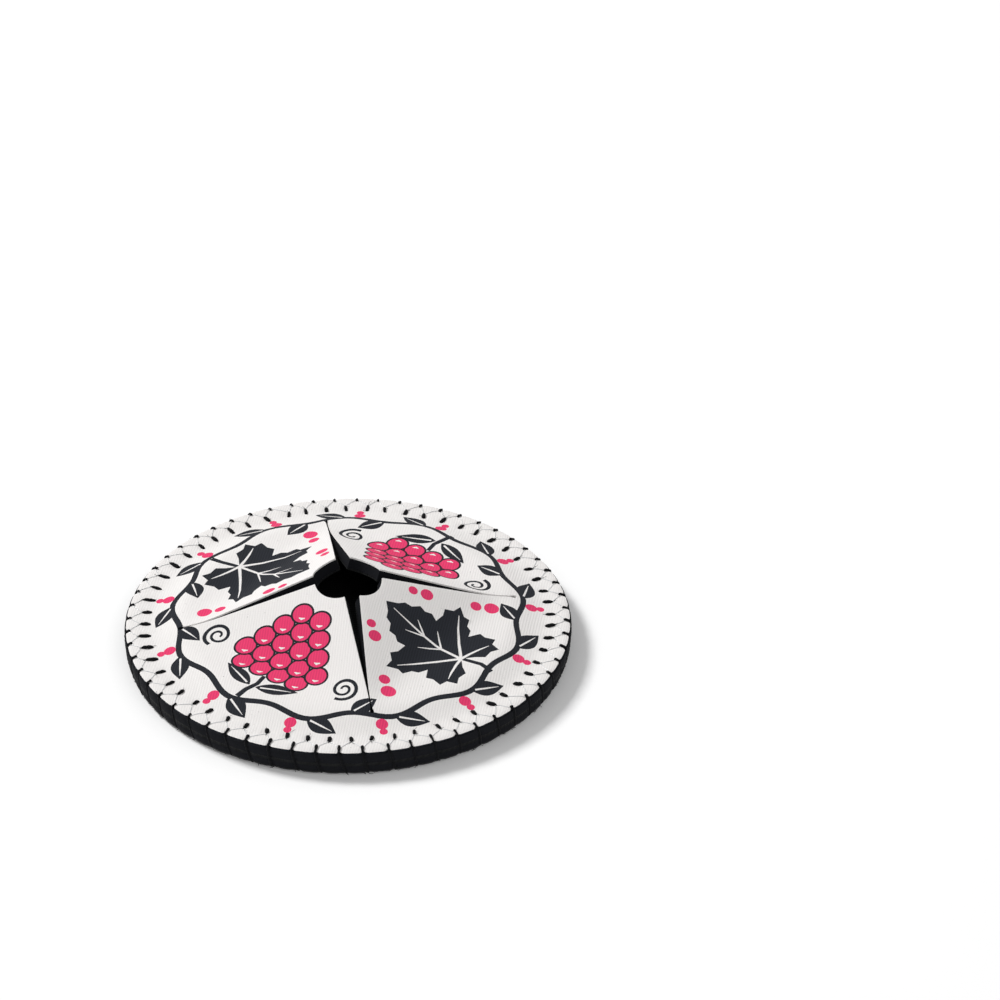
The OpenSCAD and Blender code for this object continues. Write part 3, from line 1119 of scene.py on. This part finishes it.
class COASTER_OT_grip_skin(bpy.types.Operator):
    """Makes the rubber skin of the underside, embossed with a basket weave"""

    bl_idname = "coaster.grip_skin"
    bl_label = "Grip Skin"

    def execute(self, context):
        sizes = context.scene.coaster_sizes
        turn = math.radians(WEAVE_TURN)
        cell = sizes.weave
        cells = int(PANEL_R / cell) + 2
        # Places in a pad where its groove, its flank and its crown start
        ticks = [i + f for i in range(-cells, cells) for f in (0.0, 0.08, 0.18, 0.5, 0.82, 0.92)]
        grid = turn_plan(np.array([(u, v) for u in ticks for v in ticks]) * cell, turn)
        edge_count = sizes.stitches * EDGE_POINTS
        outline = on_circle(PANEL_R, np.linspace(0, 2 * math.pi, edge_count, endpoint=False))
        low_plan, low_faces, _ = mesh_plan(outline, grid[np.hypot(*grid.T) < PANEL_R - 0.3], [])
        rings = [r * outline / PANEL_R for r in (10, 24, 38, 43, 44.5, 46)]
        high_plan, high_faces, _ = mesh_plan(outline, np.concatenate([ring[::EDGE_POINTS] for ring in rings]), [])
        plan = np.concatenate([low_plan, high_plan])
        r = np.hypot(*plan.T)
        angle = np.arctan2(plan[:, 1], plan[:, 0])
        pinch = edge_pinch(angle, sizes.stitches, 0)
        tuck = tuck_height(r)
        low = tuck + weave_height(plan, cell, sizes.weave_depth, turn) * (1 - 0.5 * tuck / TUCK)
        low += 0.1 * smooth_step((r - PANEL_R + 0.9) / 0.9) ** 2 + 0.05 * pinch * smooth_step((r - HEM_R) / 0.6)
        is_low = np.arange(len(plan)) < len(low_plan)
        height = np.where(is_low, low, SKIN_T - LAYER_GAP + tuck)
        drawn = plan * edge_scale(r, edge_radius(angle, height, sizes.stitches))[:, None]
        total = len(low_plan)
        all_faces = [list(reversed(face)) for face in low_faces]
        all_faces += [[total + v for v in face] for face in high_faces]
        # Both meshes start with the points of the outline
        for i in range(edge_count):
            k = (i + 1) % edge_count
            all_faces.append([i, k, total + k, total + i])
        rubber = embossed_rubber(context.scene.coaster_colours.rubber)
        points = np.column_stack([drawn, height])
        piece = new_piece("grip_skin_rubber", points, all_faces, [rubber], uv=plan, sharp=CREASE)
        fasten(piece, "base_grip_skin")
        return {"FINISHED"}


class COASTER_OT_edge_thread(bpy.types.Operator):
    """Makes the black yarn: dashes on the face, hooks over the edge and a zigzag under the border"""

    bl_idname = "coaster.edge_thread"
    bl_label = "Edge Thread"

    def execute(self, context):
        sizes = context.scene.coaster_sizes
        rng = np.random.default_rng(FIBRE_SEED)
        paths, fibres = [], []
        for stitch, after in stitch_pairs(sizes):
            dash, hook = dash_path(stitch, sizes), hook_path(stitch, sizes)
            paths += [dash, hook]
            hem = stitch["hook_angle"] + stitch["lean"]
            for needle in (stitch["needle"], after["needle"]):
                strands = under_strands(needle, hem, sizes, rng)
                paths += strands
                for _ in range(UNDER_FIBRES):
                    root = strands[rng.integers(UNDER_STRANDS)][0][rng.integers(2, 14)]
                    fibres.append(loose_fibre(root, (0, 0, 0), rng, (0.9, 2.6), (0.08, 0.3), (0.09, 0.04)))
            for _ in range(HOOK_FIBRES):
                root = hook[0][rng.integers(6, 26)]
                fibres.append(loose_fibre(root, (0, 0, 0), rng, (0.5, 1.3), (0, math.inf), (0.045, 0.025)))
            on_face = (FACE_Z - 0.05, FACE_Z + 0.5)
            for side, root in ((1, dash[0][-3]), (1, dash[0][-4]), (-1, dash[0][5])):
                out = (side * root[0] / 60, side * root[1] / 60, 0.1)
                fibres.append(loose_fibre(root, out, rng, (0.5, 1.4), on_face, (0.06, 0.03)))
        yarn = spun_yarn(context.scene.coaster_colours.yarn)
        points, faces, uv = tubes(paths, 8)
        # The yarn under the border lies flat on the table
        points[:, 2] = np.maximum(points[:, 2], 0)
        piece = new_piece("edge_yarn", points, faces, [yarn], uv=uv, sharp=60)
        points, faces, uv = tubes(fibres, 4)
        fuzz = new_piece("edge_yarn_fuzz", points, faces, [yarn], uv=uv)
        for part in (piece, fuzz):
            fasten(part, "edge_thread")
        return {"FINISHED"}


class COASTER_OT_face_thread(bpy.types.Operator):
    """Makes the clear thread that zigzags on the face between the dashes and the hooks"""

    bl_idname = "coaster.face_thread"
    bl_label = "Face Thread"

    def execute(self, context):
        sizes = context.scene.coaster_sizes
        count = sizes.stitches
        half = sizes.nylon_w / 2
        paths = []
        for stitch, after in stitch_pairs(sizes):
            for near in (stitch, after):
                start = (NEEDLE_R - 0.3 + near["dash"] * 0.85, near["needle"] + near["skew"] * 0.85)
                end = (PANEL_R - stitch["hook"] * 0.8, stitch["hook_angle"])
                rows = []
                for t in np.linspace(0, 1, 7):
                    r = start[0] + (end[0] - start[0]) * t
                    angle = start[1] + (end[1] - start[1]) * t
                    rows.append(ring_point(r, angle, face_height(r, angle, count) + half * 0.8))
                path = rounded_path(rows, 2)
                paths.append((path, np.full(len(path), half), 1, 0))
        points, faces, uv = tubes(paths, 7)
        nylon = clear_nylon(context.scene.coaster_colours.nylon)
        piece = new_piece("face_nylon", points, faces, [nylon], uv=uv)
        fasten(piece, "face_thread")
        return {"FINISHED"}


class COASTER_OT_stage(bpy.types.Operator):
    """Makes the floor, the studio light and the camera"""

    bl_idname = "coaster.stage"
    bl_label = "Stage"

    def execute(self, context):
        scene = context.scene
        # Painted board: matt and plain, with a little light of its own for the camera, which makes it white
        material, tree = new_material("matt painted board")
        looks = {"Base Color": rgba(scene.coaster_colours.floor), "Roughness": 0.9, "Specular IOR Level": 0.1}
        board = add(tree, "ShaderNodeBsdfPrincipled", looks)
        ray = add(tree, "ShaderNodeLightPath").outputs
        seen = calc(tree, "MAXIMUM", ray["Is Camera Ray"], ray["Is Glossy Ray"])
        seen = calc(tree, "MAXIMUM", seen, ray["Is Transmission Ray"])
        glow = add(tree, "ShaderNodeEmission", {"Strength": calc(tree, "MULTIPLY", seen, FLOOR_GLOW)})
        both = add(tree, "ShaderNodeAddShader", {0: board.outputs[0], 1: glow.outputs[0]})
        add(tree, "ShaderNodeOutputMaterial", {"Surface": both.outputs[0]})
        corners = [(FLOOR_REACH * x, FLOOR_REACH * y, FLOOR_Z) for x, y in ((-1, -1), (1, -1), (1, 1), (-1, 1))]
        new_piece("floor", corners, [[0, 1, 2, 3]], [material])

        world = bpy.data.worlds.new("studio")
        world.use_nodes = True
        world.node_tree.nodes.clear()
        sky = add(world.node_tree, "ShaderNodeBackground", {"Color": (1, 1, 1, 1), "Strength": SKY_STRENGTH})
        add(world.node_tree, "ShaderNodeOutputWorld", {"Surface": sky.outputs[0]})
        scene.world = world

        for name, spot, size, power in LAMPS:
            lamp = bpy.data.lights.new(name, "AREA")
            lamp.energy = power
            lamp.size = size
            light = bpy.data.objects.new(name, lamp)
            light.location = spot
            light.rotation_euler = (-Vector(spot)).to_track_quat("-Z", "Y").to_euler()
            scene.collection.objects.link(light)

        camera = bpy.data.cameras.new("camera")
        camera.sensor_width = SENSOR_W
        camera.lens = LENS
        yaw, pitch, roll = (math.radians(turn) for turn in (EYE_TURN, EYE_TILT, EYE_ROLL))
        forward = Vector((math.sin(yaw) * math.cos(pitch), math.cos(yaw) * math.cos(pitch), -math.sin(pitch)))
        right = Vector((math.cos(yaw), -math.sin(yaw), 0))
        down = forward.cross(right)
        level_right = right * math.cos(roll) + down * math.sin(roll)
        up = right * math.sin(roll) - down * math.cos(roll)
        axes = Matrix((level_right, up, -forward)).transposed()
        eye = bpy.data.objects.new("camera", camera)
        eye.matrix_world = Matrix.Translation(Vector(EYE) * MM) @ axes.to_4x4()
        scene.collection.objects.link(eye)
        scene.camera = eye
        scene.view_settings.view_transform = "Standard"
        return {"FINISHED"}


OPERATORS = (
    COASTER_OT_printed_face,
    COASTER_OT_top_foam,
    COASTER_OT_top_lining,
    COASTER_OT_base_lining,
    COASTER_OT_base_foam,
    COASTER_OT_grip_skin,
    COASTER_OT_edge_thread,
    COASTER_OT_face_thread,
    COASTER_OT_stage,
)


class COASTER_PT_panel(bpy.types.Panel):
    """Lists the coaster's sizes, colours and pieces"""

    bl_idname = "COASTER_PT_panel"
    bl_label = "Coaster"
    bl_space_type = "VIEW_3D"
    bl_region_type = "UI"
    bl_category = "Coaster"

    def draw(self, context):
        for group in (context.scene.coaster_sizes, context.scene.coaster_colours):
            for key in group.__annotations__:
                self.layout.prop(group, key)
        for operator in OPERATORS:
            self.layout.operator(operator.bl_idname)


CLASSES = (CoasterColours, CoasterSizes) + OPERATORS + (COASTER_PT_panel,)


def register():
    for cls in CLASSES:
        bpy.utils.register_class(cls)
    bpy.types.Scene.coaster_colours = bpy.props.PointerProperty(type=CoasterColours)
    bpy.types.Scene.coaster_sizes = bpy.props.PointerProperty(type=CoasterSizes)


def unregister():
    del bpy.types.Scene.coaster_sizes
    del bpy.types.Scene.coaster_colours
    for cls in reversed(CLASSES):
        bpy.utils.unregister_class(cls)


def main():
    register()
    for operator in OPERATORS:
        group, name = operator.bl_idname.split(".")
        getattr(getattr(bpy.ops, group), name)()


if __name__ == "__main__":
    main()
